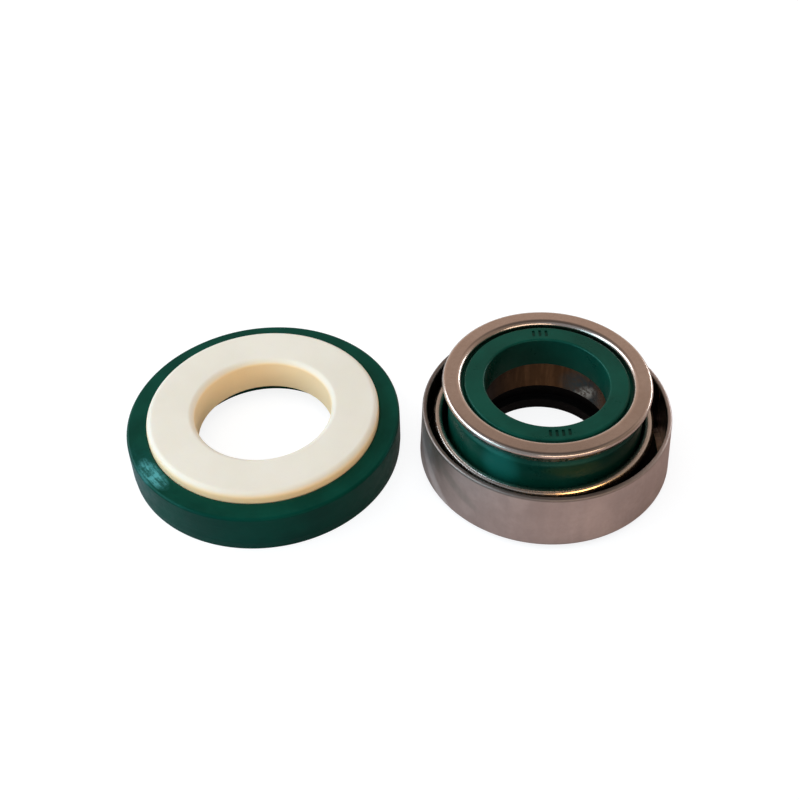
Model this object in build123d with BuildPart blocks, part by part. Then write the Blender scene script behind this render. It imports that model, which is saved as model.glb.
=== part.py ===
from build123d import *
import os
from math import acos, atan2, cos, degrees, hypot, radians, sin, tan

# Component mechanical seal for a 20 mm shaft: rotary head and stationary seat, lying side by side.
# Origin: head shaft axis, in the plane of the carbon sealing face. +Z runs from the sealing face to the
# tail of the head; +X points away from the seat. Millimetres.

# ---------------------------------------------------------------- driving dimensions
shaft_d = 20.0            # shaft the rubber collar grips

# rubber bellows of the head
bore_r = shaft_d / 2 - 0.5    # free bore of the collar, 0.5 mm of grip on the radius
collar_z0 = 10.25             # lower end of the collar, down the bore
lip_z = 15.5                  # top of the tail lip
lip_r = 12.6                  # outside of the tail lip
groove_z = 14.25              # floor of the groove round the lip
neck_r = 15.0                 # outside of the neck
neck_in_r = 13.9              # inside of the neck, spring chamber
foot_z0, foot_z1 = 1.25, 2.0  # clamped foot
foot_r = 18.1

# pressed sheet parts
sheet = 0.5
case_x, case_y = 0.2, -0.1    # the casing sits slightly off the shaft axis
case_r = 19.65                # at the foot
case_top_r = 19.2             # at the rim
case_z0 = 0.7
case_z1 = 10.4
case_corner = 0.6
case_rim_corner = 0.65
case_hole_r = 13.7
case_rim_r = 18.48

ret_x, ret_y = -0.3, 0.0      # the retainer ring sits slightly off the shaft axis too
tube_in_r = 15.6
flange_r = 18.1
flange_z0 = foot_z1 + 0.05
bead_r = 0.74                 # roll at the top of the tube
bead_z = 8.35

tail_z = 16.1                 # flat of the tail ring
tail_in_r = 13.05
tail_in_bend = 0.8            # outside radius of the turned-down inner edge
tail_in_z = 14.5              # lower end of the turned-down inner edge
tail_out_r = 15.93
tail_out_bend = 0.6           # outside radius of the rolled outer edge
tail_skirt_z = 13.8
skirt_angle = 27.7            # lean of the skirt, degrees from the axis

# carbon face ring
carbon_h = 4.6
carbon_r = 14.2
carbon_step_z = 1.25
nose_r0, nose_r1 = 10.1, 13.1
counterbore_r, counterbore_z = 11.3, 1.9

# steel parts inside the bellows
washer_z0, washer_t = 4.6, 0.5
washer_r0, washer_r1 = 11.4, 13.8
sleeve_r0, sleeve_r1 = 10.45, 10.95
sleeve_z0, sleeve_z1 = 4.6, 13.7
sleeve_flange_r = 13.8
wire_d = 1.2
coil_r = 12.9
coils = 4

# stationary seat, centred beside the head
seat_x, seat_y = -44.1, 2.8
ceramic_r = 18.25
ceramic_z0, ceramic_z1 = 2.6, 8.5
ceramic_bore_r = 10.75
boot_r = 21.52
boot_base_r = 21.4
boot_wall_z = 1.4             # where the lead-in of the boot ends
boot_h = 6.75
boot_lip_r = 12.95

gap = 0.02                    # nominal air between a rubber face and the part it holds

head_plane = Plane(origin=(0, 0, 0), x_dir=(1, 0, 0), z_dir=(0, -1, 0))
case_plane = Plane(origin=(case_x, case_y, 0), x_dir=(1, 0, 0), z_dir=(0, -1, 0))
ret_plane = Plane(origin=(ret_x, ret_y, 0), x_dir=(1, 0, 0), z_dir=(0, -1, 0))
seat_plane = Plane(origin=(seat_x, seat_y, 0), x_dir=(1, 0, 0), z_dir=(0, -1, 0))
case_axis = Axis((case_x, case_y, 0), (0, 0, 1))
ret_axis = Axis((ret_x, ret_y, 0), (0, 0, 1))
seat_axis = Axis((seat_x, seat_y, 0), (0, 0, 1))

os.makedirs("parts", exist_ok=True)

# ---------------------------------------------------------------- outer case
# Drawn cup: flat floor with a round opening for the nose, one corner, slightly drawn-in wall, rim curled inwards.
with BuildPart() as outer_case:
    with BuildSketch(case_plane):
        with BuildLine():
            c, t = case_corner, case_rim_corner
            bx, bz = case_r - c, case_z0 + c          # centre of the foot corner
            tx, tz = case_top_r - t, case_z1 - t      # centre of the rim corner
            w = atan2(tz - bz, tx - bx) - acos((c - t) / hypot(tx - bx, tz - bz))   # lean of the wall
            wd = degrees(w)
            Polyline((case_hole_r, case_z0), (bx, case_z0))
            CenterArc((bx, bz), c, 270, 90 + wd)
            Polyline((bx + c * cos(w), bz + c * sin(w)), (tx + t * cos(w), tz + t * sin(w)))
            CenterArc((tx, tz), t, wd, 90 - wd)
            Polyline((tx, case_z1), (case_rim_r, case_z1), (case_rim_r, case_z1 - sheet), (tx, case_z1 - sheet))
            CenterArc((tx, tz), t - sheet, wd, 90 - wd)
            Polyline((tx + (t - sheet) * cos(w), tz + (t - sheet) * sin(w)),
                     (bx + (c - sheet) * cos(w), bz + (c - sheet) * sin(w)))
            CenterArc((bx, bz), c - sheet, 270, 90 + wd)
            Polyline((bx, case_z0 + sheet), (case_hole_r, case_z0 + sheet), (case_hole_r, case_z0))
        make_face()
    revolve(axis=case_axis)
    fillet(outer_case.edges().filter_by(GeomType.CIRCLE)
           .filter_by(lambda e: abs(e.radius - case_rim_r) < 0.01 or abs(e.radius - case_hole_r) < 0.01), 0.18)

# ---------------------------------------------------------------- retainer ring
# Pressed ring round the neck: flange on the rubber foot, short tube, edge rolled outwards into a bead.
with BuildPart() as retainer_ring:
    with BuildSketch(ret_plane):
        with BuildLine():
            ro = tube_in_r + sheet
            bend = 0.8
            bead_x = tube_in_r + bead_r
            roll = degrees(acos((bead_x - ro) / bead_r))      # where the roll closes on the tube
            Polyline((flange_r, flange_z0), (tube_in_r + bend, flange_z0))
            CenterArc((tube_in_r + bend, flange_z0 + bend), bend, 180, 90)
            Polyline((tube_in_r, flange_z0 + bend), (tube_in_r, bead_z))
            CenterArc((bead_x, bead_z), bead_r, 180, -180 - (180 - roll))
            Polyline((ro, bead_z - bead_r * sin(radians(roll))), (ro, flange_z0 + bend))
            CenterArc((tube_in_r + bend, flange_z0 + bend), bend - sheet, 180, 90)
            Polyline((tube_in_r + bend, flange_z0 + sheet), (flange_r, flange_z0 + sheet),
                     (flange_r, flange_z0))
        make_face()
    revolve(axis=ret_axis)
    fillet(retainer_ring.edges().filter_by(GeomType.CIRCLE)
           .filter_by(lambda e: abs(e.radius - flange_r) < 0.01), 0.18)

# ---------------------------------------------------------------- carbon face ring
# Body with a narrower sealing nose, through bore and a counterbore that lets the guide sleeve dip in.
with BuildPart() as carbon_face:
    with BuildSketch(head_plane):
        with BuildLine():
            Polyline((nose_r0, 0), (nose_r1, 0), (nose_r1, carbon_step_z), (carbon_r, carbon_step_z),
                     (carbon_r, carbon_h), (counterbore_r, carbon_h), (counterbore_r, counterbore_z),
                     (nose_r0, counterbore_z), (nose_r0, 0))
        make_face()
    revolve(axis=Axis.Z)
    chamfer(carbon_face.edges().filter_by(GeomType.CIRCLE).group_by(Axis.Z)[0]
            .filter_by(lambda e: e.radius > nose_r1 - 0.01), 0.15)
    chamfer(carbon_face.edges().filter_by(GeomType.CIRCLE).group_by(Axis.Z)[-1], 0.2)

# ---------------------------------------------------------------- thrust washer
with BuildPart() as thrust_washer:
    with BuildSketch(Plane.XY.offset(washer_z0)):
        Circle(washer_r1)
        Circle(washer_r0, mode=Mode.SUBTRACT)
    extrude(amount=washer_t)
    fillet(thrust_washer.edges().filter_by(GeomType.CIRCLE), 0.08)

# ---------------------------------------------------------------- coil spring
spring_z0 = washer_z0 + washer_t
spring_z1 = sleeve_z1 - sheet
with BuildPart() as spring:
    with BuildLine(Plane.XY.offset(spring_z0 + wire_d / 2 + 0.01)):
        coil = Helix(pitch=(spring_z1 - spring_z0 - wire_d - 0.02) / coils,
                     height=spring_z1 - spring_z0 - wire_d - 0.02, radius=coil_r)
    with BuildSketch(Plane(origin=coil @ 0, z_dir=coil % 0)):
        Circle(wire_d / 2)
    sweep(is_frenet=True)

# ---------------------------------------------------------------- guide sleeve
# L-section ring inside the collar; its flange carries the top of the spring.
with BuildPart() as guide_sleeve:
    with BuildSketch(head_plane):
        with BuildLine():
            b = 0.7
            Polyline((sleeve_r1, sleeve_z0), (sleeve_r0, sleeve_z0), (sleeve_r0, sleeve_z1 - b))
            CenterArc((sleeve_r0 + b, sleeve_z1 - b), b, 90, 90)
            Polyline((sleeve_r0 + b, sleeve_z1), (sleeve_flange_r, sleeve_z1),
                     (sleeve_flange_r, sleeve_z1 - sheet), (sleeve_r0 + b, sleeve_z1 - sheet))
            CenterArc((sleeve_r0 + b, sleeve_z1 - b), b - sheet, 90, 90)
            Polyline((sleeve_r1, sleeve_z1 - b), (sleeve_r1, sleeve_z0))
        make_face()
    revolve(axis=Axis.Z)
    fillet(guide_sleeve.edges().filter_by(GeomType.CIRCLE).group_by(Axis.Z)[0], 0.15)

# ---------------------------------------------------------------- rubber bellows
# One moulding: foot under the retainer ring, sleeve round the carbon, neck round the spring,
# shoulder under the tail ring, lip inside it, and the collar that grips the shaft.
with BuildPart() as bellows:
    with BuildSketch(head_plane):
        with BuildLine():
            b = 0.7
            sb = b + gap
            k = tan(radians(skirt_angle))
            shoulder_z = tail_z - sheet - 0.06
            skirt_r0 = tail_out_r - tail_out_bend - 0.03
            skirt_z0 = tail_z - tail_out_bend

            def skirt_in(z):
                return skirt_r0 - (skirt_z0 - z) * k

            # collar, from the top of the bore down and back up along the guide sleeve
            Polyline((bore_r + 0.2, lip_z), (bore_r, lip_z - 0.2), (bore_r, collar_z0 + 0.15),
                     (bore_r + 0.15, collar_z0), (sleeve_r0 - gap, collar_z0),
                     (sleeve_r0 - gap, sleeve_z1 - b))
            CenterArc((sleeve_r0 + b, sleeve_z1 - b), sb, 90, 90)
            # over the sleeve flange, down the spring chamber and the carbon
            Polyline((sleeve_r0 + b, sleeve_z1 + gap), (neck_in_r, sleeve_z1 + gap), (neck_in_r, carbon_h + gap),
                     (carbon_r + gap, carbon_h + gap), (carbon_r + gap, foot_z0), (foot_r, foot_z0),
                     (foot_r, foot_z1), (neck_r + 0.35, foot_z1))
            CenterArc((neck_r + 0.35, foot_z1 + 0.35), 0.35, 180, 90)
            # outside of the neck, rounded in under the tail ring
            Polyline((neck_r, foot_z1 + 0.35), (neck_r, 12.4))
            CenterArc((neck_r - 0.7, 12.4), 0.7, 0, 60)
            Polyline((neck_r - 0.7 + 0.7 * cos(radians(60)), 12.4 + 0.7 * sin(radians(60))),
                     (14.4, 13.6), (skirt_in(14.15), 14.15), (skirt_in(shoulder_z - 0.35), shoulder_z - 0.35),
                     (skirt_in(shoulder_z - 0.35) - 0.3, shoulder_z), (tail_in_r + tail_in_bend + 0.05, shoulder_z),
                     (tail_in_r + sheet + 0.06, shoulder_z - 0.35),
                     (tail_in_r + sheet + 0.06, groove_z), (lip_r, groove_z), (lip_r, lip_z - 0.4))
            CenterArc((lip_r - 0.4, lip_z - 0.4), 0.4, 0, 90)
            Polyline((lip_r - 0.4, lip_z), (bore_r + 0.2, lip_z))
        make_face()
    revolve(axis=Axis.Z)
    # moulded tally marks in the lip, three at the back and four at the front
    with BuildSketch(Plane.XY.offset(lip_z)):
        with Locations((-1.05, 11.0), (-0.05, 11.05), (0.95, 11.0)):
            RectangleRounded(0.45, 1.4, 0.12)
        with Locations((-0.55, -10.95), (0.4, -11.0), (1.35, -10.95), (2.3, -10.8)):
            RectangleRounded(0.45, 1.3, 0.12)
    extrude(amount=-0.2, mode=Mode.SUBTRACT)

# ---------------------------------------------------------------- tail ring
# Flat ring with the inner edge turned down into the groove and the outer edge rolled into a skirt.
with BuildPart() as tail_ring:
    with BuildSketch(head_plane):
        with BuildLine():
            a = skirt_angle
            ti, to = tail_in_bend, tail_out_bend
            ir, oc, cz = tail_in_r + ti, tail_out_r - to, tail_z - to
            ca, sa = cos(radians(a)), sin(radians(a))
            k = sa / ca
            # end of the skirt on the outside and on the inside
            sx = oc + to * ca - (cz - to * sa - tail_skirt_z) * k
            nx, nz = sx - sheet * ca, tail_skirt_z + sheet * sa
            Polyline((tail_in_r, tail_in_z), (tail_in_r, tail_z - ti))
            CenterArc((ir, tail_z - ti), ti, 90, 90)
            Polyline((ir, tail_z), (oc, tail_z))
            CenterArc((oc, cz), to, -a, 90 + a)
            Polyline((oc + to * ca, cz - to * sa), (sx, tail_skirt_z), (nx, nz),
                     (oc + (to - sheet) * ca, cz - (to - sheet) * sa))
            CenterArc((oc, cz), to - sheet, -a, 90 + a)
            Polyline((oc, tail_z - sheet), (ir, tail_z - sheet))
            CenterArc((ir, tail_z - ti), ti - sheet, 90, 90)
            Polyline((tail_in_r + sheet, tail_z - ti), (tail_in_r + sheet, tail_in_z), (tail_in_r, tail_in_z))
        make_face()
    revolve(axis=Axis.Z)
    fillet(tail_ring.edges().filter_by(GeomType.CIRCLE)
           .filter_by(lambda e: e.center().Z < tail_in_z + 0.01), 0.16)

# ---------------------------------------------------------------- seat ring
# Plain ceramic ring, large radius on the top outer edge, bore broken at both ends.
with BuildPart() as seat_ring:
    with BuildSketch(seat_plane):
        with BuildLine():
            Polyline((ceramic_bore_r, ceramic_z0), (ceramic_r, ceramic_z0), (ceramic_r, ceramic_z1),
                     (ceramic_bore_r, ceramic_z1), (ceramic_bore_r, ceramic_z0))
        make_face()
    revolve(axis=seat_axis)
    fillet(seat_ring.edges().filter_by(GeomType.CIRCLE).group_by(Axis.Z)[-1]
           .filter_by(lambda e: e.radius > 15), 1.0)
    chamfer(seat_ring.edges().filter_by(GeomType.CIRCLE).group_by(Axis.Z)[-1]
            .filter_by(lambda e: e.radius < 12), 0.65)
    chamfer(seat_ring.edges().filter_by(GeomType.CIRCLE).group_by(Axis.Z)[0], 0.3)

# ---------------------------------------------------------------- seat boot
# Rubber cup round the ceramic with a thin inward lip under it.
with BuildPart() as seat_boot:
    with BuildSketch(seat_plane):
        with BuildLine():
            ir = ceramic_r + gap
            Polyline((boot_lip_r, 0), (boot_base_r, 0), (boot_r, boot_wall_z), (boot_r, boot_h),
                     (ir, boot_h), (ir, ceramic_z0 - 0.01), (boot_lip_r, ceramic_z0 - 0.01), (boot_lip_r, 0))
        make_face()
    revolve(axis=seat_axis)
    fillet(seat_boot.edges().filter_by(GeomType.CIRCLE).group_by(Axis.Z)[-1]
           .filter_by(lambda e: e.radius > 20), 0.45)
    fillet(seat_boot.edges().filter_by(GeomType.CIRCLE).group_by(Axis.Z)[-1]
           .filter_by(lambda e: e.radius < 19), 0.35)
    fillet(seat_boot.edges().filter_by(GeomType.CIRCLE).group_by(Axis.Z)[0]
           .filter_by(lambda e: e.radius > 20), 0.25)
    fillet(seat_boot.edges().filter_by(GeomType.CIRCLE)
           .filter_by(lambda e: abs(e.radius - boot_lip_r) < 0.01), 0.2)

# ---------------------------------------------------------------- output
outer_case.part.label = "outer_case"
export_step(outer_case.part, "parts/outer_case.step")
retainer_ring.part.label = "retainer_ring"
export_step(retainer_ring.part, "parts/retainer_ring.step")
carbon_face.part.label = "carbon_face"
export_step(carbon_face.part, "parts/carbon_face.step")
thrust_washer.part.label = "thrust_washer"
export_step(thrust_washer.part, "parts/thrust_washer.step")
spring.part.label = "spring"
export_step(spring.part, "parts/spring.step")
guide_sleeve.part.label = "guide_sleeve"
export_step(guide_sleeve.part, "parts/guide_sleeve.step")
bellows.part.label = "bellows"
export_step(bellows.part, "parts/bellows.step")
tail_ring.part.label = "tail_ring"
export_step(tail_ring.part, "parts/tail_ring.step")
seat_ring.part.label = "seat_ring"
export_step(seat_ring.part, "parts/seat_ring.step")
seat_boot.part.label = "seat_boot"
export_step(seat_boot.part, "parts/seat_boot.step")
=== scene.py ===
import bpy, bmesh, math, random
from math import pi, sin, cos, radians, atan2, hypot
from mathutils import Vector, Matrix, noise


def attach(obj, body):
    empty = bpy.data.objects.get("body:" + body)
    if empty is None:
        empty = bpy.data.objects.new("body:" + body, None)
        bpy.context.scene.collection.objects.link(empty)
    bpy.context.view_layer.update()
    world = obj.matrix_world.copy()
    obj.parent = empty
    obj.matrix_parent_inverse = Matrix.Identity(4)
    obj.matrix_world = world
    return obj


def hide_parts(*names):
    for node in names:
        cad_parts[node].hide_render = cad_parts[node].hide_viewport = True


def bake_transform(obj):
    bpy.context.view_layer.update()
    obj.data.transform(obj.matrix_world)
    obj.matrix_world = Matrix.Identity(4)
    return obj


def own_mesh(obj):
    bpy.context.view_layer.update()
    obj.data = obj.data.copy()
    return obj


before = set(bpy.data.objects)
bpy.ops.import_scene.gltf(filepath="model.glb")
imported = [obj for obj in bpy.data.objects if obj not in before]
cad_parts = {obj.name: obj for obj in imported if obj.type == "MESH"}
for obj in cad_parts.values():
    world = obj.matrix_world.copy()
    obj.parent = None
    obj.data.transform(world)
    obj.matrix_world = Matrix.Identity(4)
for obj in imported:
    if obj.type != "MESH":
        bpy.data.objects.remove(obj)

random.seed(7)
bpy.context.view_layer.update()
MM = 0.001
SEAT = (-44.1, 2.8)
CASE = (0.2, -0.1)
RET = (-0.3, 0.0)
NONE = (0.0, 0.0)

# ------------------------------------------------------------------ profile helpers
def rounded(points, n_per_rad=7):
    """Closed outline of (r, z, radius) corners in mm -> list of (r, z) with each corner rounded and support loops."""
    out = []
    m = len(points)
    for i in range(m):
        p0, p1, p2 = points[i - 1], points[i], points[(i + 1) % m]
        rad = p1[2] if len(p1) > 2 else 0.0
        n = p1[3] if len(p1) > 3 else None
        a = Vector((p0[0] - p1[0], p0[1] - p1[1]))
        b = Vector((p2[0] - p1[0], p2[1] - p1[1]))
        if rad <= 1e-6 or a.length < 1e-6 or b.length < 1e-6:
            out.append(("c", (p1[0], p1[1])))
            continue
        ua, ub = a.normalized(), b.normalized()
        ang = ua.angle(ub)
        if ang > pi - 0.02:
            out.append(("c", (p1[0], p1[1])))
            continue
        t = rad / math.tan(ang / 2)
        t = min(t, a.length * 0.49, b.length * 0.49)
        rr = t * math.tan(ang / 2)
        bis = (ua + ub).normalized()
        c = Vector((p1[0], p1[1])) + bis * (rr / sin(ang / 2))
        s = Vector((p1[0], p1[1])) + ua * t
        e = Vector((p1[0], p1[1])) + ub * t
        a0 = atan2(s.y - c.y, s.x - c.x)
        a1 = atan2(e.y - c.y, e.x - c.x)
        d = (a1 - a0 + pi) % (2 * pi) - pi
        k = n or max(3, int(abs(d) * n_per_rad) + 2)
        arc = [(c.x + rr * cos(a0 + d * j / k), c.y + rr * sin(a0 + d * j / k)) for j in range(k + 1)]
        out.append(("a", arc))
    pts = []
    flat = []
    for kind, val in out:
        if kind == "c":
            flat.append([val])
        else:
            flat.append(val)
    for i, group in enumerate(flat):
        pts.extend(group)
        nxt = flat[(i + 1) % m][0]
        last = group[-1]
        L = hypot(nxt[0] - last[0], nxt[1] - last[1])
        if L > 0.25:
            d = min(0.05, L * 0.15)
            steps = max(1, int(L / 1.1))
            ts = [d / L] + [j / steps for j in range(1, steps)] + [1 - d / L]
            for t in sorted(set(ts)):
                pts.append((last[0] + (nxt[0] - last[0]) * t, last[1] + (nxt[1] - last[1]) * t))
    clean = []
    for p in pts:
        if not clean or hypot(p[0] - clean[-1][0], p[1] - clean[-1][1]) > 1e-4:
            clean.append(p)
    if hypot(clean[0][0] - clean[-1][0], clean[0][1] - clean[-1][1]) < 1e-4:
        clean.pop()
    return clean


def lathe(name, outline, centre=(0, 0), segs=256, warp=None):
    """Closed ring of the outline (mm) about a vertical axis at centre; warp(r, z, theta) -> (dr, dz) in mm."""
    verts, faces = [], []
    n = len(outline)
    for s in range(segs):
        th = 2 * pi * s / segs
        for (r, z) in outline:
            dr, dz = warp(r, z, th) if warp else (0, 0)
            verts.append(((r + dr) * cos(th) * MM, (r + dr) * sin(th) * MM, (z + dz) * MM))
    for s in range(segs):
        s2 = (s + 1) % segs
        for i in range(n):
            j = (i + 1) % n
            faces.append((s * n + i, s2 * n + i, s2 * n + j, s * n + j))
    me = bpy.data.meshes.new(name)
    me.from_pydata(verts, [], faces)
    bm = bmesh.new()
    bm.from_mesh(me)
    bmesh.ops.recalc_face_normals(bm, faces=bm.faces)
    bm.to_mesh(me)
    bm.free()
    for p in me.polygons:
        p.use_smooth = True
    ob = bpy.data.objects.new(name, me)
    ob.location = (centre[0] * MM, centre[1] * MM, 0)
    bpy.context.scene.collection.objects.link(ob)
    bpy.context.view_layer.update()
    return ob


# ------------------------------------------------------------------ node helpers
class Mat:
    def __init__(self, name):
        self.m = bpy.data.materials.new(name)
        self.m.use_nodes = True
        self.t = self.m.node_tree
        self.t.nodes.clear()
        self.out = self.new("ShaderNodeOutputMaterial")
        self.b = self.new("ShaderNodeBsdfPrincipled")
        self.link(self.b.outputs[0], self.out.inputs["Surface"])

    def new(self, kind, **kw):
        n = self.t.nodes.new(kind)
        for k, v in kw.items():
            setattr(n, k, v)
        return n

    def link(self, a, b):
        self.t.links.new(a, b)

    def set(self, **kw):
        for k, v in kw.items():
            self.b.inputs[k.replace("_", " ")].default_value = v

    def val(self, sock, v):
        if isinstance(v, (int, float)):
            sock.default_value = v
        elif isinstance(v, (tuple, list)):
            sock.default_value = v
        else:
            self.link(v, sock)

    def math(self, op, a, b=None, c=None, clamp=False):
        n = self.new("ShaderNodeMath", operation=op, use_clamp=clamp)
        self.val(n.inputs[0], a)
        if b is not None:
            self.val(n.inputs[1], b)
        if c is not None:
            self.val(n.inputs[2], c)
        return n.outputs[0]

    def coords(self):
        if not hasattr(self, "_xyz"):
            tc = self.new("ShaderNodeTexCoord")
            sx = self.new("ShaderNodeSeparateXYZ")
            self.link(tc.outputs["Object"], sx.inputs[0])
            self._obj = tc.outputs["Object"]
            x, y, z = sx.outputs
            r = self.math("SQRT", self.math("ADD", self.math("MULTIPLY", x, x), self.math("MULTIPLY", y, y)))
            th = self.math("ARCTAN2", y, x)
            self._xyz = (x, y, z, r, th)
        return self._xyz

    def ring_vec(self, along, kr, kz):
        """Seamless coordinates round the axis: 'along' features round the ring, kr and kz across it."""
        x, y, z, r, th = self.coords()
        cx = self.new("ShaderNodeCombineXYZ")
        self.link(self.math("MULTIPLY", self.math("COSINE", th), along), cx.inputs[0])
        self.link(self.math("MULTIPLY", self.math("SINE", th), along), cx.inputs[1])
        self.link(self.math("ADD", self.math("MULTIPLY", r, kr), self.math("MULTIPLY", z, kz)), cx.inputs[2])
        return cx.outputs[0]

    def noise(self, vec=None, scale=5.0, detail=3.0, rough=0.5, dist=0.0):
        n = self.new("ShaderNodeTexNoise")
        if vec is None:
            self.coords()
            vec = self._obj
        self.link(vec, n.inputs["Vector"])
        n.inputs["Scale"].default_value = scale
        n.inputs["Detail"].default_value = detail
        n.inputs["Roughness"].default_value = rough
        n.inputs["Distortion"].default_value = dist
        return n.outputs["Fac"]

    def remap(self, v, a, b, c, d, smooth=False):
        n = self.new("ShaderNodeMapRange")
        n.clamp = True
        if smooth:
            n.interpolation_type = "SMOOTHSTEP"
        self.val(n.inputs[0], v)
        for i, x in enumerate((a, b, c, d)):
            n.inputs[1 + i].default_value = x
        return n.outputs[0]

    def mix(self, fac, a, b, mode="MIX"):
        n = self.new("ShaderNodeMix", data_type="RGBA", blend_type=mode)
        self.val(n.inputs[0], fac)
        for sock, v in ((n.inputs[6], a), (n.inputs[7], b)):
            if isinstance(v, (tuple, list)):
                sock.default_value = (*v[:3], 1)
            else:
                self.link(v, sock)
        return n.outputs[2]

    def bump(self, height, strength=0.2, distance=0.0001, normal=None):
        n = self.new("ShaderNodeBump")
        n.inputs["Strength"].default_value = strength
        n.inputs["Distance"].default_value = distance
        self.link(height, n.inputs["Height"])
        if normal is not None:
            self.link(normal, n.inputs["Normal"])
        return n.outputs[0]

    def normal_z(self):
        g = self.new("ShaderNodeNewGeometry")
        s = self.new("ShaderNodeSeparateXYZ")
        self.link(g.outputs["Normal"], s.inputs[0])
        return s.outputs


def steel(name, base, rough, var=0.10, grain=0.10, lines=0.5, tint=(0.82, 0.76, 0.70), surface_tone_and_painted_light=None, aniso=0.0):
    """Stainless sheet: satin grain, faint drawing lines round the axis, soft cloudy patches."""
    m = Mat(name)
    x, y, z, r, th = m.coords()
    cloud = m.noise(scale=150, detail=4, rough=0.6)
    mott = m.noise(scale=1500, detail=3, rough=0.6)
    fine = m.noise(scale=5200, detail=2, rough=0.6)
    draw = m.noise(vec=m.ring_vec(4.0, 9000, 9000), scale=1.0, detail=3, rough=0.6)
    hi = tuple(min(1, c * (1 + var)) for c in base)
    lo = tuple(c * (1 - var) for c in base)
    c1 = m.mix(m.remap(cloud, 0.36, 0.66, 0, 1), lo, hi)
    c2 = m.mix(m.remap(mott, 0.35, 0.70, 0, 0.30), c1, tuple(p * q for p, q in zip(base, tint)))
    c3 = m.mix(m.remap(draw, 0.45, 0.75, 0, lines * 0.3), c2, tuple(min(1, p * 1.25) for p in base))
    ro = m.math("ADD", m.remap(cloud, 0.3, 0.7, rough * 0.86, rough * 1.16), m.remap(mott, 0.3, 0.7, -0.03, 0.04))
    ro = m.math("ADD", ro, m.remap(draw, 0.3, 0.7, -0.03 * lines, 0.04 * lines))
    # the per-part function adds random tone and painted reflections, highlights or shade to the colour
    if surface_tone_and_painted_light:
        c3, ro = surface_tone_and_painted_light(m, c3, ro)
    m.link(c3, m.b.inputs["Base Color"])
    m.link(ro, m.b.inputs["Roughness"])
    if grain > 0:
        b1 = m.bump(draw, strength=grain * lines * 1.4, distance=0.00003)
        b2 = m.bump(mott, strength=grain, distance=0.00004, normal=b1)
        b3 = m.bump(fine, strength=grain * 0.9, distance=0.00002, normal=b2)
        m.link(b3, m.b.inputs["Normal"])
    else:
        m.link(m.bump(cloud, strength=0.05, distance=0.00004), m.b.inputs["Normal"])
    m.set(Metallic=1.0)
    m.b.inputs["Anisotropic"].default_value = aniso
    return m


def patch(m, th0, z0, wth, wz, slant=0.0):
    """Soft blob on a ring wall: 1 at azimuth th0 (rad) and height z0 (m), fading over wth and wz."""
    x, y, z, r, th = m.coords()
    dz = m.math("SUBTRACT", z, z0)
    c = m.math("ADD", m.math("MULTIPLY", x, cos(th0)), m.math("MULTIPLY", y, sin(th0)))
    t = m.math("SUBTRACT", m.math("MULTIPLY", y, cos(th0)), m.math("MULTIPLY", x, sin(th0)))
    ang = m.math("ARCTAN2", t, c)
    u = m.math("DIVIDE", m.math("SUBTRACT", ang, m.math("MULTIPLY", dz, slant)), wth)
    v = m.math("DIVIDE", dz, wz)
    d = m.math("ADD", m.math("MULTIPLY", u, u), m.math("MULTIPLY", v, v))
    return m.remap(d, 0.0, 1.0, 1.0, 0.0, smooth=True)


def rubber(name, base, rough=0.40, spec=0.14, lift=(0.002, 0.02, 0.016), extra_tone_and_painted_light=None, tint=(0.32, 0.92, 0.80)):
    """Moulded FKM: fine pebble from the mould, faint flow lines round the axis, pale dust in the pores."""
    m = Mat(name)
    x, y, z, r, th = m.coords()
    big = m.noise(scale=170, detail=3)
    mid = m.noise(scale=900, detail=3, rough=0.6)
    grain = m.noise(scale=4200, detail=2, rough=0.6)
    flow = m.noise(vec=m.ring_vec(6.0, 2600, 2600), scale=1.0, detail=3)
    hi = tuple(c * 1.18 for c in base)
    lo = tuple(c * 0.84 for c in base)
    c1 = m.mix(m.remap(big, 0.35, 0.65, 0, 1), lo, hi)
    c2 = m.mix(m.remap(flow, 0.55, 0.8, 0, 0.30), c1, tuple(c + d for c, d in zip(base, lift)))
    c3 = m.mix(m.remap(mid, 0.60, 0.82, 0, 0.25), c2, tuple(c + d for c, d in zip(base, lift)))
    # the per-part function adds marks and painted sheen, reflections or shade to the colour
    if extra_tone_and_painted_light:
        c3 = extra_tone_and_painted_light(m, c3)
    m.link(c3, m.b.inputs["Base Color"])
    ra = m.remap(big, 0.3, 0.7, rough - 0.05, rough + 0.07)
    m.link(m.math("ADD", ra, m.remap(mid, 0.3, 0.7, -0.06, 0.06)), m.b.inputs["Roughness"])
    b1 = m.bump(grain, strength=0.16, distance=0.00003)
    b2 = m.bump(mid, strength=0.10, distance=0.00006, normal=b1)
    b3 = m.bump(flow, strength=0.12, distance=0.00005, normal=b2)
    m.link(b3, m.b.inputs["Normal"])
    m.b.inputs["Specular IOR Level"].default_value = spec
    m.b.inputs["Specular Tint"].default_value = (*tint, 1)
    return m


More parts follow.
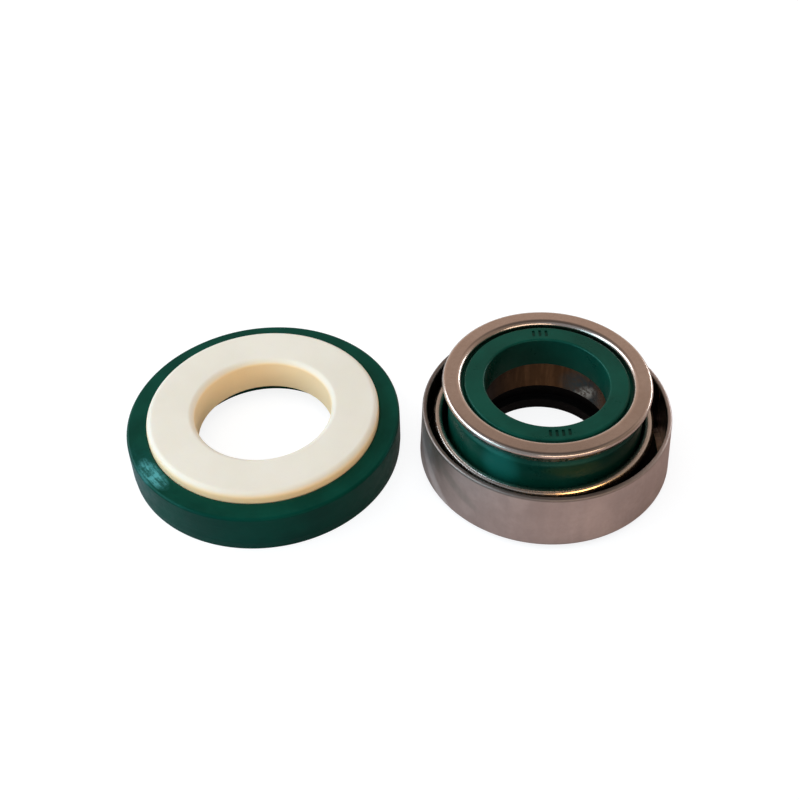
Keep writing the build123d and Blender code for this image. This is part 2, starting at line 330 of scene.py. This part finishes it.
# ------------------------------------------------------------------ materials
def case_marks_and_painted_light(m, col, ro):
    # handling marks: rubbed bands on the front; painted reflections: a dark streak, a pale cool patch and a white
    # highlight on the left front;
    # painted shade on the rolled rim, strongest on the left, and dark, streaky painted shade inside with one painted
    # bright reflection spot on the right
    x, y, z, r, th = m.coords()
    n = m.noise(scale=700, detail=3, rough=0.7)
    soft = m.noise(scale=260, detail=3, rough=0.55)
    vert = m.noise(vec=m.ring_vec(7.0, 0, 30), scale=1.0, detail=3, rough=0.5)
    c = m.mix(m.remap(vert, 0.40, 0.62, 0.35, 0.0), col, (0.44, 0.385, 0.37))
    c = m.mix(m.remap(soft, 0.50, 0.68, 0.0, 0.35), c, (0.70, 0.63, 0.60))
    # painted reflection: a dark streak on the left front, also a little rougher
    painted_dark_streak = m.math("MULTIPLY", patch(m, radians(-156), 0.0082, 0.12, 0.0034, slant=-40), m.remap(n, 0.3, 0.6, 0.5, 1))
    # painted reflection: a pale, cool patch on the left of the casing
    pale = m.math("MULTIPLY", patch(m, radians(-166), 0.0050, 0.26, 0.0070), m.remap(n, 0.35, 0.65, 0.6, 1))
    band = m.math("MULTIPLY", patch(m, radians(-72), 0.0055, 0.17, 0.0120), m.remap(n, 0.3, 0.7, 0.6, 1))
    c = m.mix(m.math("MULTIPLY", painted_dark_streak, 0.60), c, (0.24, 0.20, 0.17))
    c = m.mix(m.math("MULTIPLY", pale, 0.55), c, (0.80, 0.84, 0.90))
    dull = m.math("MULTIPLY", patch(m, radians(-140), 0.0066, 0.15, 0.0030, slant=-95), m.remap(n, 0.30, 0.62, 0.6, 1))
    c = m.mix(m.math("MULTIPLY", dull, 0.55), c, (0.33, 0.33, 0.30))
    # painted highlight: a near-white stretch low on the left of the casing
    edge = m.math("MULTIPLY", patch(m, radians(-157), 0.0034, 0.15, 0.0060, slant=-75), m.remap(n, 0.30, 0.60, 0.7, 1))
    c = m.mix(m.math("MULTIPLY", edge, 0.80), c, (1.0, 0.99, 1.0))
    c = m.mix(m.math("MULTIPLY", band, 0.30), c, (0.76, 0.66, 0.61))
    ro = m.math("ADD", ro, m.math("MULTIPLY", painted_dark_streak, 0.06))
    # painted shade: the rolled rim is darkened, strongly on the left and little on the right, and made rougher
    rim = m.remap(z, 0.0098, 0.01005, 0, 1)
    c = m.mix(m.math("MULTIPLY", rim, m.remap(x, 0.006, 0.017, 0.85, 0.10)), c, (0.19, 0.165, 0.15))
    ro = m.math("ADD", ro, m.math("MULTIPLY", rim, 0.10))
    # painted shade: the inside wall is dark and streaky, with one painted bright reflection spot on the right
    wall = m.math("SUBTRACT", 0.01940, m.math("MULTIPLY", m.math("SUBTRACT", z, 0.0013), 0.053))
    inside = m.math("MULTIPLY", m.remap(m.math("SUBTRACT", r, wall), -0.00012, 0.00012, 1, 0),
                    m.remap(z, 0.00985, 0.0102, 1, 0))
    streak = m.noise(vec=m.ring_vec(26.0, 0, 160), scale=1.0, detail=4, rough=0.65)
    dark = m.mix(m.remap(streak, 0.50, 0.68, 0, 1), (0.035, 0.030, 0.030), (0.50, 0.40, 0.37))
    spot = m.math("MULTIPLY", patch(m, radians(2), 0.0042, 0.22, 0.0050), m.remap(n, 0.36, 0.6, 0.7, 1))
    dark = m.mix(spot, dark, (1.0, 0.84, 0.70))
    return m.mix(inside, c, dark), ro


def lip_painted_shade(m, col, ro):
    # the rolled edge keeps its steel colour; below it the tube and the flange get painted shade, near black, and are
    # rougher
    x, y, z, r, th = m.coords()
    low = m.remap(z, 0.0070, 0.0076, 1, 0)
    return m.mix(low, col, (0.020, 0.018, 0.017)), m.math("ADD", ro, m.math("MULTIPLY", low, 0.3))


def ring_tone_and_painted_light(m, col, ro):
    # faint browner cloudiness on the flat; on the flared edge a painted cool reflection at the left front and painted
    # highlight spots at the front, a little rougher
    n = m.noise(scale=210, detail=2, rough=0.5)
    c = m.mix(m.remap(n, 0.42, 0.62, 0.0, 0.22), col, (0.50, 0.40, 0.34))
    k = m.noise(scale=620, detail=3, rough=0.6)
    # painted reflection: a cool stretch on the left front of the flared edge
    cool = patch(m, radians(-134), 0.0144, 0.42, 0.0016)
    # painted highlight: pale spots on the front of the flared edge
    painted_highlight_spots = m.math("MULTIPLY", patch(m, radians(-95), 0.0147, 0.34, 0.0012), m.remap(k, 0.40, 0.56, 0.15, 1))
    c = m.mix(m.math("MULTIPLY", cool, 0.85), c, (0.56, 0.60, 0.66))
    c = m.mix(m.math("MULTIPLY", painted_highlight_spots, 0.90), c, (0.95, 0.78, 0.68))
    return c, m.math("ADD", ro, m.math("MULTIPLY", painted_highlight_spots, 0.10))


def sleeve_tone_and_painted_light(m, col, ro):
    # painted reflections: a blue haze and a pale, cool patch low on the right of the bore; brown streaks elsewhere;
    # painted shade on the left side
    x, y, z, r, th = m.coords()
    n = m.noise(scale=900, detail=3, rough=0.65)
    streak = m.noise(vec=m.ring_vec(9.0, 0, 90), scale=1.0, detail=3, rough=0.6)
    c = m.mix(m.remap(streak, 0.42, 0.62, 0.55, 0.0), col, (0.085, 0.050, 0.025))
    painted_blue_reflection = m.math("MULTIPLY", patch(m, radians(46), 0.0062, 0.50, 0.0044), m.remap(n, 0.30, 0.62, 0.5, 1))
    c = m.mix(m.math("MULTIPLY", painted_blue_reflection, 0.85), c, (0.07, 0.17, 0.22))
    pale = m.math("MULTIPLY", patch(m, radians(45), 0.0056, 0.17, 0.0026, slant=-70), m.remap(n, 0.42, 0.55, 0.12, 1))
    c = m.mix(pale, c, (0.86, 1.0, 1.0))
    # painted shade: the left side of the bore is darkened
    left = m.remap(x, -0.0090, 0.0010, 0.95, 0.0, smooth=True)
    c = m.mix(left, c, (0.018, 0.012, 0.008))
    return c, m.math("ADD", ro, m.math("MULTIPLY", pale, 0.12))


case_mat = steel("drawn_stainless", (0.57, 0.505, 0.485), 0.37, var=0.09, grain=0.13, lines=0.35, surface_tone_and_painted_light=case_marks_and_painted_light)
ring_mat = steel("pressed_stainless", (0.60, 0.52, 0.47), 0.21, var=0.05, grain=0.0, lines=0.15, surface_tone_and_painted_light=ring_tone_and_painted_light)
lip_mat = steel("rolled_stainless", (0.63, 0.60, 0.56), 0.24, var=0.06, grain=0.0, lines=0.0, surface_tone_and_painted_light=lip_painted_shade)
sleeve_mat = steel("bright_sleeve", (0.27, 0.165, 0.085), 0.30, var=0.12, grain=0.0, lines=0.4, surface_tone_and_painted_light=sleeve_tone_and_painted_light)
wire_mat = steel("spring_wire", (0.45, 0.45, 0.45), 0.3)
def head_tone_and_painted_light(m, c):
    # darker in the pressed marks, and near black on the foot below 2.4 mm
    x, y, z, r, th = m.coords()
    marks = m.math("MULTIPLY", m.remap(z, 0.01538, 0.01546, 1, 0), m.remap(z, 0.01522, 0.01528, 0, 1))
    marks = m.math("MULTIPLY", marks, m.remap(m.math("ABSOLUTE", x), 0.0027, 0.0029, 1, 0))
    marks = m.math("MULTIPLY", marks, m.remap(r, 0.0099, 0.0100, 0, 1))
    c = m.mix(m.math("MULTIPLY", marks, 0.60), c, (0.0008, 0.010, 0.007))
    # painted light on the neck: a paler, cooler painted sheen on the left front, a faint olive painted reflection at
    # its front, painted shade to the right
    outer = m.remap(r, 0.0142, 0.0146, 0, 1)
    cool = m.math("MULTIPLY", patch(m, radians(-122), 0.0105, 0.26, 0.0040), outer)
    warm = m.math("MULTIPLY", patch(m, radians(-80), 0.0118, 0.36, 0.0014), outer)
    shade = m.math("MULTIPLY", m.remap(x, 0.0035, 0.0115, 0, 0.75), outer)
    c = m.mix(m.math("MULTIPLY", shade, m.remap(y, -0.002, 0.002, 1, 0)), c, (0.0004, 0.012, 0.007))
    c = m.mix(m.math("MULTIPLY", cool, 0.85), c, (0.007, 0.135, 0.112))
    c = m.mix(m.math("MULTIPLY", warm, 0.60), c, (0.038, 0.075, 0.026))
    return m.mix(m.remap(z, 0.0022, 0.0026, 0.9, 0.0), c, (0.0008, 0.004, 0.003))


head_rubber = rubber("green_fkm", (0.0016, 0.049, 0.033), rough=0.33, spec=0.30, extra_tone_and_painted_light=head_tone_and_painted_light)
def boot_painted_glint(m, c):
    # painted highlight: a pale, streaky glint on the left front of the shoulder, and a faint painted sheen down the
    # wall below it
    x, y, z, r, th = m.coords()
    n = m.noise(scale=900, detail=4, rough=0.7)
    streak = m.noise(vec=m.ring_vec(5.0, 2400, 900), scale=1.0, detail=3, rough=0.6)
    a0 = radians(-142)
    cc = m.math("ADD", m.math("MULTIPLY", x, cos(a0)), m.math("MULTIPLY", y, sin(a0)))
    tt = m.math("SUBTRACT", m.math("MULTIPLY", y, cos(a0)), m.math("MULTIPLY", x, sin(a0)))
    ang = m.math("DIVIDE", m.math("ARCTAN2", tt, cc), 0.22)
    rr = m.math("DIVIDE", m.math("SUBTRACT", r, 0.0200), 0.0017)
    d = m.math("ADD", m.math("MULTIPLY", ang, ang), m.math("MULTIPLY", rr, rr))
    top = m.math("MULTIPLY", m.remap(d, 0.0, 1.0, 1.0, 0.0, smooth=True), m.remap(z, 0.0058, 0.0064, 0, 1))
    top = m.math("MULTIPLY", top, m.remap(m.math("MULTIPLY", n, streak), 0.19, 0.32, 0.15, 1))
    side = m.math("MULTIPLY", patch(m, radians(-150), 0.0050, 0.35, 0.0030), m.remap(n, 0.4, 0.7, 0.2, 0.8))
    c = m.mix(top, c, (0.090, 0.37, 0.39))
    return m.mix(m.math("MULTIPLY", side, 0.35), c, (0.010, 0.13, 0.14))


boot_rubber = rubber("green_fkm_boot", (0.0007, 0.042, 0.027), rough=0.38, spec=0.17, extra_tone_and_painted_light=boot_painted_glint,
                     tint=(0.20, 0.92, 0.84))

carbon_mat = Mat("carbon")
g = carbon_mat.noise(scale=1500, detail=4)
carbon_mat.link(carbon_mat.mix(g, (0.0015, 0.0015, 0.0016), (0.005, 0.005, 0.0055)), carbon_mat.b.inputs["Base Color"])
carbon_mat.link(carbon_mat.remap(g, 0.3, 0.7, 0.38, 0.55), carbon_mat.b.inputs["Roughness"])
carbon_mat.link(carbon_mat.bump(g, 0.15, 0.00003), carbon_mat.b.inputs["Normal"])
carbon_mat.b.inputs["Specular IOR Level"].default_value = 0.15

ceramic_mat = Mat("alumina")
cm = ceramic_mat
x, y, z, r, th = cm.coords()
cb = cm.noise(scale=90, detail=3)
cf = cm.noise(scale=3000, detail=3)
cg = cm.noise(vec=cm.ring_vec(14.0, 5000, 5000), scale=1.0, detail=3)
nz = cm.normal_z()
face = cm.mix(cm.remap(cb, 0.35, 0.65, 0, 1), (0.70, 0.685, 0.605), (0.735, 0.725, 0.65))
# painted warm shade: surfaces that slope away from the top are tinted tan
tan = cm.mix(cm.remap(nz[2], 0.85, 0.15, 0, 1, smooth=True), face, (0.88, 0.70, 0.44))
cm.link(cm.mix(cm.remap(cf, 0.62, 0.8, 0, 0.18), tan, (0.60, 0.54, 0.46)), cm.b.inputs["Base Color"])
cm.link(cm.remap(cf, 0.3, 0.7, 0.40, 0.52), cm.b.inputs["Roughness"])
cb1 = cm.bump(cg, 0.05, 0.00002)
cm.link(cm.bump(cf, 0.05, 0.00002, normal=cb1), cm.b.inputs["Normal"])
cm.b.inputs["Specular IOR Level"].default_value = 0.30
cm.b.inputs["Subsurface Weight"].default_value = 0.15
cm.b.inputs["Subsurface Radius"].default_value = (0.0014, 0.0008, 0.0004)
cm.b.inputs["Subsurface Scale"].default_value = 1.0


def give(ob, mat, body, slot, *nodes):
    ob.data.materials.clear()
    ob.data.materials.append(mat.m)
    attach(ob, body)
    if nodes:
        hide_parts(*nodes)
    return ob


# ------------------------------------------------------------------ pieces
T = 0.5


def wobble(seed, amp, freq=3.0):
    """Slow uneven run-out of a pressed edge, in mm."""
    def f(th):
        return amp * noise.noise(Vector((cos(th) * freq, sin(th) * freq, seed * 7.31)))
    return f


# outer case
w_rim = wobble(1, 0.05, 2.2)
w_rim2 = wobble(2, 0.02, 9.0)


def case_warp(r, z, th):
    if z > 9.2:
        t = min(1.0, (z - 9.2) / 1.0)
        return (w_rim(th) * t * 0.6, (w_rim(th) * 0.5 + w_rim2(th)) * t - 0.03 * t)
    return NONE


LEAN = (19.65 - 19.20) / 8.45
case_pts = [(13.7, 0.7, 0.18), (19.65, 0.7, 0.6, 10), (19.20 - 0.65 * LEAN, 10.4, 0.65, 14), (18.48, 10.4, 0.2, 6),
            (18.48, 9.9, 0.2, 5), (18.66, 9.9, 0.15, 5), (19.13, 1.2, 0.1, 3), (13.7, 1.2, 0.18)]
case = lathe("casing", rounded(case_pts), CASE, 320, warp=case_warp)
give(case, case_mat, "face_end", "case_steel", "outer_case")

# retainer ring
w_lip = wobble(3, 0.04, 2.0)


def ret_warp(r, z, th):
    if z > 6.5:
        t = min(1.0, (z - 6.5) / 1.2)
        return (w_lip(th) * t, w_lip(th + 1.3) * t * 0.5 - 0.01 * t)
    return NONE


ret_pts = [(18.1, 2.05, 0.2), (15.6, 2.05, 0.8, 10), (15.6, 9.09, 0.735, 18), (17.08, 9.09, 0.735, 18),
           (17.08, 7.61, 0.735, 14), (16.1, 7.61, 0.02, 2), (16.1, 2.55, 0.3, 6), (18.1, 2.55, 0.2)]
ret = lathe("rolled_ring", rounded(ret_pts), RET, 640, warp=ret_warp)
give(ret, lip_mat, "face_end", "ring_steel", "retainer_ring")

# carbon
car_pts = [(10.1, 0, 0.04), (13.1, 0, 0.15), (13.1, 1.25, 0.1), (14.2, 1.25, 0.1), (14.2, 4.6, 0.2), (11.3, 4.6, 0.2),
           (11.3, 1.9, 0.1), (10.1, 1.9, 0.1)]
car = lathe("carbon_ring", rounded(car_pts), (0, 0), 256)
give(car, carbon_mat, "face_end", "carbon", "carbon_face")

# sleeve
slv_pts = [(10.95, 4.6, 0.15), (10.45, 4.6, 0.15), (10.45, 13.7, 0.7, 8), (13.8, 13.7, 0.1), (13.8, 13.2, 0.1),
           (10.95, 13.2, 0.2)]
slv = lathe("inner_sleeve", rounded(slv_pts), (0, 0), 256)
give(slv, sleeve_mat, "tail_end", "sleeve_steel", "guide_sleeve")

# bellows
K = math.tan(radians(27.7))


def skirt_in(z):
    return 15.30 - (15.5 - z) * K


bel_pts = [(9.5, 15.5, 0.32, 8), (9.5, 10.25, 0.15, 4), (10.43, 10.25, 0.05, 2), (10.43, 13.72, 0.72, 8),
           (13.9, 13.72, 0.05, 2), (13.9, 4.62, 0.05, 2), (14.22, 4.62, 0.05, 2), (14.22, 1.25, 0.05, 2), (18.1, 1.25, 0.2, 3),
           (18.1, 2.0, 0.2, 3), (15.0, 2.0, 0.35, 5), (15.0, 12.75, 0.7, 8), (14.40, 13.6, 0.25, 4),
           (skirt_in(14.15), 14.15, 0.1, 3), (skirt_in(15.19), 15.30, 0.3, 5), (13.75, 15.43, 0.4, 5),
           (13.61, 15.05, 0.1, 3), (13.61, 14.25, 0.2, 4), (12.6, 14.25, 0.2, 4), (12.6, 15.5, 0.42, 10)]
w_lip2 = wobble(5, 0.04, 2.5)


def bel_warp(r, z, th):
    if z > 14.95 and r < 13.0:
        return (0.0, w_lip2(th) * 0.5 - 0.01)
    if 3.0 < z < 12.0 and r > 14.9:
        return (w_lip2(th + 2.0) * 0.4, 0.0)
    return NONE


bel = lathe("bellows_moulding", rounded(bel_pts), (0, 0), 288, warp=bel_warp)
bel.data.materials.append(head_rubber.m)

# tally marks pressed in the lip
cut_v, cut_f = [], []


def bar(cx, cy, w, h, z0, z1, lean=0.0):
    base = len(cut_v)
    q = 0.1
    ring = []
    for sx, sy in ((1, 1), (-1, 1), (-1, -1), (1, -1)):
        a0 = {(1, 1): 0, (-1, 1): 90, (-1, -1): 180, (1, -1): 270}[(sx, sy)]
        for j in range(4):
            a = radians(a0 + j * 30)
            ring.append((sx * (w / 2 - q) + q * cos(a), sy * (h / 2 - q) + q * sin(a)))
    n = len(ring)
    for zz in (z0, z1):
        for (px, py) in ring:
            cut_v.append(((cx + px + lean * py) * MM, (cy + py) * MM, zz * MM))
    for i in range(n):
        j = (i + 1) % n
        cut_f.append((base + i, base + j, base + n + j, base + n + i))
    cut_f.append(tuple(base + i for i in reversed(range(n))))
    cut_f.append(tuple(base + n + i for i in range(n)))


for cx, cy in ((-1.05, 11.0), (-0.05, 11.05), (0.95, 11.0)):
    bar(cx, cy, 0.45, 1.4, 15.30, 15.9)
for cx, cy in ((-0.55, -10.95), (0.4, -11.0), (1.35, -10.95), (2.3, -10.8)):
    bar(cx, cy, 0.45, 1.3, 15.30, 15.9)
cme = bpy.data.meshes.new("cutter")
cme.from_pydata(cut_v, [], cut_f)
cut = bpy.data.objects.new("cutter", cme)
bpy.context.scene.collection.objects.link(cut)
md = bel.modifiers.new("marks", "BOOLEAN")
md.operation = "DIFFERENCE"
md.solver = "EXACT"
md.object = cut
dg = bpy.context.evaluated_depsgraph_get()
baked = bpy.data.meshes.new_from_object(bel.evaluated_get(dg))
bel.modifiers.clear()
bel.data = baked
bpy.data.objects.remove(cut)
for p in bel.data.polygons:
    p.use_smooth = True
bel.data.set_sharp_from_angle(angle=radians(50))
bel.data.materials.clear()
bel.data.materials.append(head_rubber.m)
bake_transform(bel)
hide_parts("bellows")

# tail ring
A = radians(27.7)
oc, oz = 15.93 - 0.6, 16.1 - 0.6
ex, ez = oc + 0.6 * cos(A), oz - 0.6 * sin(A)
sx = ex - (ez - 13.8) * K
nx, nz_ = sx - T * cos(A), 13.8 + T * sin(A)
cxr = sx + (16.1 - 13.8) * K                      # where the skirt line meets the flat, before rounding
cin = nx + (15.6 - nz_) * K
tail_pts = [(13.05, 14.5, 0.16, 4), (13.05, 16.1, 0.8, 16), (cxr, 16.1, 0.6, 18), (sx, 13.8, 0.16, 5),
            (nx, nz_, 0.16, 5), (cin, 15.6, 0.1, 3), (13.55, 15.6, 0.3, 5), (13.55, 14.5, 0.16, 4)]
w_t = wobble(6, 0.05, 2.0)


def tail_warp(r, z, th):
    return (0.0, w_t(th) * 0.4 - 0.02 if z > 14.0 else w_t(th) * 0.4 - 0.02)


tail = lathe("tail_flange", rounded(tail_pts), (0, 0), 320, warp=tail_warp)
give(tail, ring_mat, "tail_end", "ring_steel", "tail_ring")

# seat ring
sr_pts = [(10.75, 2.6, 0.3), (18.25, 2.6, 0.3), (18.25, 8.5, 1.0, 16), (11.40, 8.5, 0.95, 9), (10.75, 7.85, 0.80, 8)]
sr = lathe("ceramic_ring", rounded(sr_pts), SEAT, 288)
give(sr, ceramic_mat, "face_end", "alumina", "seat_ring")

# seat boot
w_b = wobble(8, 0.06, 2.0)


def boot_warp(r, z, th):
    if z > 5.5 and r > 18.4:
        t = min(1.0, (z - 5.5) / 1.0)
        return ((w_b(th) * 0.4 - 0.014) * t if r > 20.5 else 0.0, (w_b(th) * 0.5 - 0.02) * t)
    return NONE


sb_pts = [(12.95, 0, 0.2), (21.4, 0, 0.25), (21.52, 1.4, 0.8), (21.52, 6.75, 0.45, 8), (18.27, 6.75, 0.35, 8), (18.27, 2.59),
          (12.95, 2.59, 0.2)]
sb = lathe("boot_cup", rounded(sb_pts), SEAT, 320, warp=boot_warp)
give(sb, boot_rubber, "face_end", "boot_rubber", "seat_boot")


# spring
def helix(name, rad, wire, z0, z1, turns, n=48, k=12):
    verts, faces = [], []
    steps = int(turns * n)
    for i in range(steps + 1):
        th = 2 * pi * i / n
        zc = z0 + wire / 2 + (z1 - z0 - wire) * i / steps
        for j in range(k):
            a = 2 * pi * j / k
            rr = rad + wire / 2 * cos(a)
            verts.append((rr * cos(th) * MM, rr * sin(th) * MM, (zc + wire / 2 * sin(a)) * MM))
    for i in range(steps):
        for j in range(k):
            j2 = (j + 1) % k
            faces.append((i * k + j, i * k + j2, (i + 1) * k + j2, (i + 1) * k + j))
    faces.append(tuple(range(k)))
    faces.append(tuple(steps * k + j for j in reversed(range(k))))
    me = bpy.data.meshes.new(name)
    me.from_pydata(verts, [], faces)
    bm = bmesh.new()
    bm.from_mesh(me)
    bmesh.ops.recalc_face_normals(bm, faces=bm.faces)
    bm.to_mesh(me)
    bm.free()
    for p in me.polygons:
        p.use_smooth = True
    me.set_sharp_from_angle(angle=radians(60))
    ob = bpy.data.objects.new(name, me)
    bpy.context.scene.collection.objects.link(ob)
    return ob


spr = helix("coil_spring", 12.9, 1.2, 5.12, 13.18, 4)
spr.data.materials.append(wire_mat.m)
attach(spr, "face_end")
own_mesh(spr)
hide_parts("spring")

# the washer keeps its CAD mesh
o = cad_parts["thrust_washer"]
o.data.materials.clear()
o.data.materials.append(ring_mat.m)

# ------------------------------------------------------------------ floor, light, camera
bpy.ops.mesh.primitive_circle_add(vertices=96, radius=1.6, fill_type="NGON", location=(0, 0, 0))
floor = bpy.context.object
floor.name = "floor"
fmat = bpy.data.materials.new("floor_paper")
fmat.use_nodes = True
ft = fmat.node_tree
ft.nodes.clear()
f_out = ft.nodes.new("ShaderNodeOutputMaterial")
f_seen = ft.nodes.new("ShaderNodeBsdfDiffuse")
f_glow = ft.nodes.new("ShaderNodeEmission")
f_add = ft.nodes.new("ShaderNodeAddShader")
f_mix = ft.nodes.new("ShaderNodeMixShader")
f_lp = ft.nodes.new("ShaderNodeLightPath")
f_bounce = ft.nodes.new("ShaderNodeBsdfDiffuse")
f_tc = ft.nodes.new("ShaderNodeTexCoord")
f_sx = ft.nodes.new("ShaderNodeSeparateXYZ")
f_mr = ft.nodes.new("ShaderNodeMapRange")
f_col = ft.nodes.new("ShaderNodeMix")
f_col.data_type = "RGBA"
ft.links.new(f_tc.outputs["Object"], f_sx.inputs[0])
ft.links.new(f_sx.outputs[0], f_mr.inputs[0])
f_mr.interpolation_type = "SMOOTHSTEP"
f_mr.inputs[1].default_value = -0.055
f_mr.inputs[2].default_value = 0.005
f_col.inputs[6].default_value = (0.44, 0.50, 0.54, 1)
f_col.inputs[7].default_value = (0.53, 0.425, 0.40, 1)
ft.links.new(f_mr.outputs[0], f_col.inputs[0])
f_far = ft.nodes.new("ShaderNodeMapRange")
f_far.interpolation_type = "SMOOTHSTEP"
f_far.inputs[1].default_value = 0.05
f_far.inputs[2].default_value = 0.16
ft.links.new(f_sx.outputs[1], f_far.inputs[0])
f_white = ft.nodes.new("ShaderNodeMix")
f_white.data_type = "RGBA"
ft.links.new(f_far.outputs[0], f_white.inputs[0])
ft.links.new(f_col.outputs[2], f_white.inputs[6])
f_white.inputs[7].default_value = (0.95, 0.93, 0.90, 1)
ft.links.new(f_white.outputs[2], f_bounce.inputs[0])
f_seen.inputs[0].default_value = (0.22, 0.23, 0.24, 1)
f_glow.inputs[0].default_value = (0.99, 0.995, 1, 1)
f_glow.inputs[1].default_value = 0.86
ft.links.new(f_seen.outputs[0], f_add.inputs[0])
ft.links.new(f_glow.outputs[0], f_add.inputs[1])
ft.links.new(f_lp.outputs["Is Camera Ray"], f_mix.inputs[0])
ft.links.new(f_bounce.outputs[0], f_mix.inputs[1])
ft.links.new(f_add.outputs[0], f_mix.inputs[2])
ft.links.new(f_mix.outputs[0], f_out.inputs[0])
floor.data.materials.append(fmat)


def area(name, loc, target, size, radiance, color, size_y=None):
    """Area light by its radiance, so that it looks as bright in the metal whatever its size."""
    d = bpy.data.lights.new(name, "AREA")
    sy = size_y or size
    d.energy = radiance * pi * size * sy
    d.color = color
    d.shape = "RECTANGLE" if size_y else "SQUARE"
    d.size = size
    if size_y:
        d.size_y = size_y
    o = bpy.data.objects.new(name, d)
    o.location = loc
    o.rotation_mode = "QUATERNION"
    o.rotation_quaternion = (Vector(target) - Vector(loc)).to_track_quat("-Z", "Y")
    bpy.context.scene.collection.objects.link(o)
    return o


area("window", (-0.47, 0.06, 0.27), (-0.02, 0.0, 0.01), 0.62, 5.2, (0.80, 0.90, 1.0), 0.20)
low = area("low_front", (0.21, -0.59, 0.15), (0.0, 0.0, 0.01), 0.66, 3.3, (1.0, 0.80, 0.62), 0.16)
low.visible_diffuse = False
area("cool_left", (-0.56, -0.28, 0.15), (-0.02, 0.0, 0.01), 0.44, 2.6, (0.50, 0.86, 1.0), 0.20)
area("right_strip", (0.44, 0.33, 0.13), (0.0, 0.0, 0.01), 0.30, 8.0, (0.92, 0.96, 1.0), 0.07)
gold = area("gold_lamp", (0.26, -0.34, 0.36), (0.0, 0.0, 0.01), 0.26, 8.8, (1.0, 0.52, 0.18), 0.32)
gold.visible_diffuse = False
only_roll = bpy.data.collections.new("gold_lamp_receivers")
only_roll.objects.link(ret)
gold.light_linking.receiver_collection = only_roll
warm = area("warm_fill", (0.21, -0.59, 0.16), (-0.044, 0.003, 0.006), 0.66, 4.6, (1.0, 0.76, 0.50), 0.18)
warm.visible_glossy = False
only_seat = bpy.data.collections.new("warm_fill_receivers")
only_seat.objects.link(sr)
warm.light_linking.receiver_collection = only_seat
soft = area("soft_top", (-0.08, -0.10, 0.60), (-0.02, 0.0, 0.0), 0.56, 1.9, (1.0, 0.98, 0.95))
soft.visible_glossy = False

world = bpy.data.worlds.new("studio")
bpy.context.scene.world = world
world.use_nodes = True
wt = world.node_tree
wt.nodes.clear()


def wn(kind, **kw):
    n = wt.nodes.new(kind)
    for k, v in kw.items():
        setattr(n, k, v)
    return n


def wramp(sock, a, b, c=0.0, d=1.0):
    n = wn("ShaderNodeMapRange", interpolation_type="SMOOTHSTEP")
    wt.links.new(sock, n.inputs[0])
    for i, v in enumerate((a, b, c, d)):
        n.inputs[1 + i].default_value = v
    return n.outputs[0]


def wmul(a, b):
    n = wn("ShaderNodeMath", operation="MULTIPLY")
    for s_, v in ((n.inputs[0], a), (n.inputs[1], b)):
        if isinstance(v, (int, float)):
            s_.default_value = v
        else:
            wt.links.new(v, s_)
    return n.outputs[0]


def wmix(fac, a, b):
    n = wn("ShaderNodeMix", data_type="RGBA")
    wt.links.new(fac, n.inputs[0])
    for s_, v in ((n.inputs[6], a), (n.inputs[7], b)):
        if isinstance(v, tuple):
            s_.default_value = (*v, 1)
        else:
            wt.links.new(v, s_)
    return n.outputs[2]


w_tc = wn("ShaderNodeTexCoord")
w_s = wn("ShaderNodeSeparateXYZ")
wt.links.new(w_tc.outputs["Generated"], w_s.inputs[0])
dx, dy, dz = w_s.outputs
sky = wmix(wramp(dx, -0.6, 0.6), (0.34, 0.36, 0.40), (0.30, 0.235, 0.19))
back = wmix(wramp(dz, 0.62, 0.80), (0.60, 0.455, 0.38), (0.24, 0.185, 0.155))
sky = wmix(wramp(dy, -0.1, 0.5), sky, back)
sky = wmix(wmul(wramp(dz, 0.80, 0.92), wramp(dy, 0.5, 0.2)), sky, (0.13, 0.11, 0.10))
horizon = wmul(wmul(wramp(dz, -0.15, -0.02), wramp(dz, 0.10, 0.24, 1.0, 0.0)), wramp(dy, 0.05, 0.35))
sky = wmix(horizon, sky, (0.95, 0.93, 0.90))
w_out = wn("ShaderNodeOutputWorld")
w_bg = wn("ShaderNodeBackground")
w_cam = wn("ShaderNodeBackground")
w_ms = wn("ShaderNodeMixShader")
w_lp = wn("ShaderNodeLightPath")
wt.links.new(sky, w_bg.inputs[0])
w_bg.inputs[1].default_value = 1.0
w_cam.inputs[0].default_value = (0.97, 0.97, 0.97, 1)
wt.links.new(w_lp.outputs["Is Camera Ray"], w_ms.inputs[0])
wt.links.new(w_bg.outputs[0], w_ms.inputs[1])
wt.links.new(w_cam.outputs[0], w_ms.inputs[2])
wt.links.new(w_ms.outputs[0], w_out.inputs[0])

cam_d = bpy.data.cameras.new("cam")
cam = bpy.data.objects.new("cam", cam_d)
bpy.context.scene.collection.objects.link(cam)
F_PX, PITCH, ROLL = 1171.0, radians(40.3245), radians(-1.1410)
fwd = Vector((0, cos(PITCH), -sin(PITCH)))
right = Vector((1, 0, 0))
up = right.cross(fwd)
r2 = cos(ROLL) * right + sin(ROLL) * up
u2 = -sin(ROLL) * right + cos(ROLL) * up
cam.matrix_world = Matrix((
    (r2.x, u2.x, -fwd.x, -0.019602),
    (r2.y, u2.y, -fwd.y, -0.129254),
    (r2.z, u2.z, -fwd.z, 0.137848),
    (0, 0, 0, 1)))
cam_d.sensor_width = 36
cam_d.sensor_fit = "AUTO"
cam_d.lens = F_PX / 800 * 36
cam_d.shift_x = -(416.6 - 399.5) / 800
cam_d.shift_y = -(400.0 - 320.0) / 800
cam_d.clip_start = 0.005
cam_d.clip_end = 20
bpy.context.scene.camera = cam

sc = bpy.context.scene
sc.view_settings.view_transform = "Standard"
sc.view_settings.look = "None"
